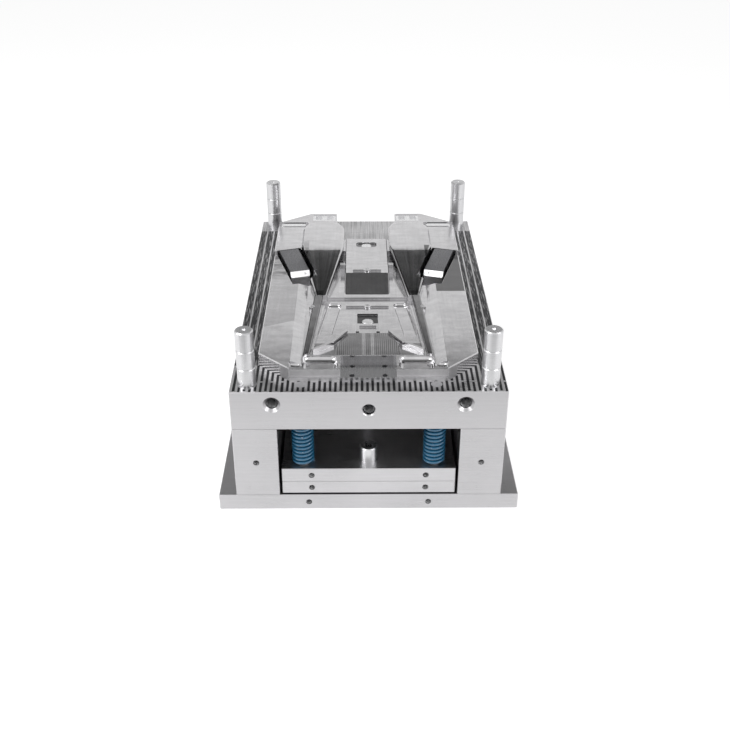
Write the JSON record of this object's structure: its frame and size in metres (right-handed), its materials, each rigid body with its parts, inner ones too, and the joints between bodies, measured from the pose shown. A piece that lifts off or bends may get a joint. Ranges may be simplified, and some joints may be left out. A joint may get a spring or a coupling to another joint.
{
  "type": "mould base",
  "caption": "Moving half of an injection mould base: clamp plate, spacer blocks, spring-returned ejector set, and a B plate with a sculpted core insert, angled lifters and guide pins.",
  "frame": {"origin": "centre of the clamp plate's underside, where it meets the machine's platen", "axes": "+Z is the opening direction, away from the platen; -Y is the operator's side, called the front; +X is to the right seen from the front"},
  "size_m": [0.68, 0.95, 0.448],
  "materials": {
    "plate_steel": "surface ground, satin, with fine grind lines",
    "ejector_steel": "surface ground, satin",
    "core_steel": "milled and stoned, bright, with fine cutter marks",
    "insert_steel": "hardened and ground",
    "wear_steel": "hardened, ground, with faint crossed scratches",
    "lifter_steel": "hardened, dark satin",
    "pin_steel": "hardened, round ground, bright satin",
    "post_steel": "turned, satin",
    "screw_steel": "black oxide",
    "bush_bronze": "turned bronze",
    "spring_paint": "blue spring lacquer, semi-gloss"
  },
  "bodies": {
    "base": {"clamp_plate": "plate_steel", "spacer_block_left": "plate_steel", "spacer_block_right": "plate_steel", "clamp_screws": "screw_steel", "stop_buttons": "post_steel", "support_pillars": "post_steel", "support_pillar_screws": "screw_steel", "ejector_guide_pins": "pin_steel", "b_plate": "plate_steel", "guide_pins": "pin_steel", "core_insert": "core_steel", "core_insert_screws": "screw_steel", "front_gate_insert": "insert_steel", "rear_gate_insert": "insert_steel", "front_wear_plate": "wear_steel", "front_wear_plate_screws": "screw_steel", "rear_lock_plate_left": "insert_steel", "rear_lock_plate_right": "insert_steel", "rear_wear_strip_left": "insert_steel", "rear_wear_strip_right": "insert_steel", "return_springs": "spring_paint"},
    "ejector_set": {"ejector_plate": "ejector_steel", "ejector_retainer_plate": "ejector_steel", "ejector_plate_screws": "screw_steel", "ejector_guide_bushes": "bush_bronze", "return_pins": "pin_steel", "limit_posts": "post_steel", "limit_post_screws": "screw_steel", "ejector_pins": "pin_steel", "lifter_shoe_left": "lifter_steel", "lifter_shoe_right": "lifter_steel"},
    "lifter_left": {"lifter_block_left": "lifter_steel", "lifter_rod_left": "lifter_steel", "lifter_foot_left": "lifter_steel"},
    "lifter_right": {"lifter_block_right": "lifter_steel", "lifter_rod_right": "lifter_steel", "lifter_foot_right": "lifter_steel"}
  },
  "joints": [
    {"name": "ejector_stroke", "type": "slide", "parent": "base", "child": "ejector_set", "axis": [0, 0, 1], "range_m": [0, 0.07], "stiffness_N_per_m": 80000, "springref_m": -0.008, "deforming": ["return_springs"]},
    {"name": "lifter_slide_left", "type": "slide", "parent": "base", "child": "lifter_left", "axis": [0.024, -0.0838, 0.9962], "range_m": [0, 0.0703]},
    {"name": "lifter_slide_right", "type": "slide", "parent": "base", "child": "lifter_right", "axis": [-0.024, -0.0838, 0.9962], "range_m": [0, 0.0703]}
  ],
  "couplings": [
    {"joint": "lifter_slide_left", "follows": "ejector_stroke", "ratio": 1.0038},
    {"joint": "lifter_slide_right", "follows": "ejector_stroke", "ratio": 1.0038}
  ]
}
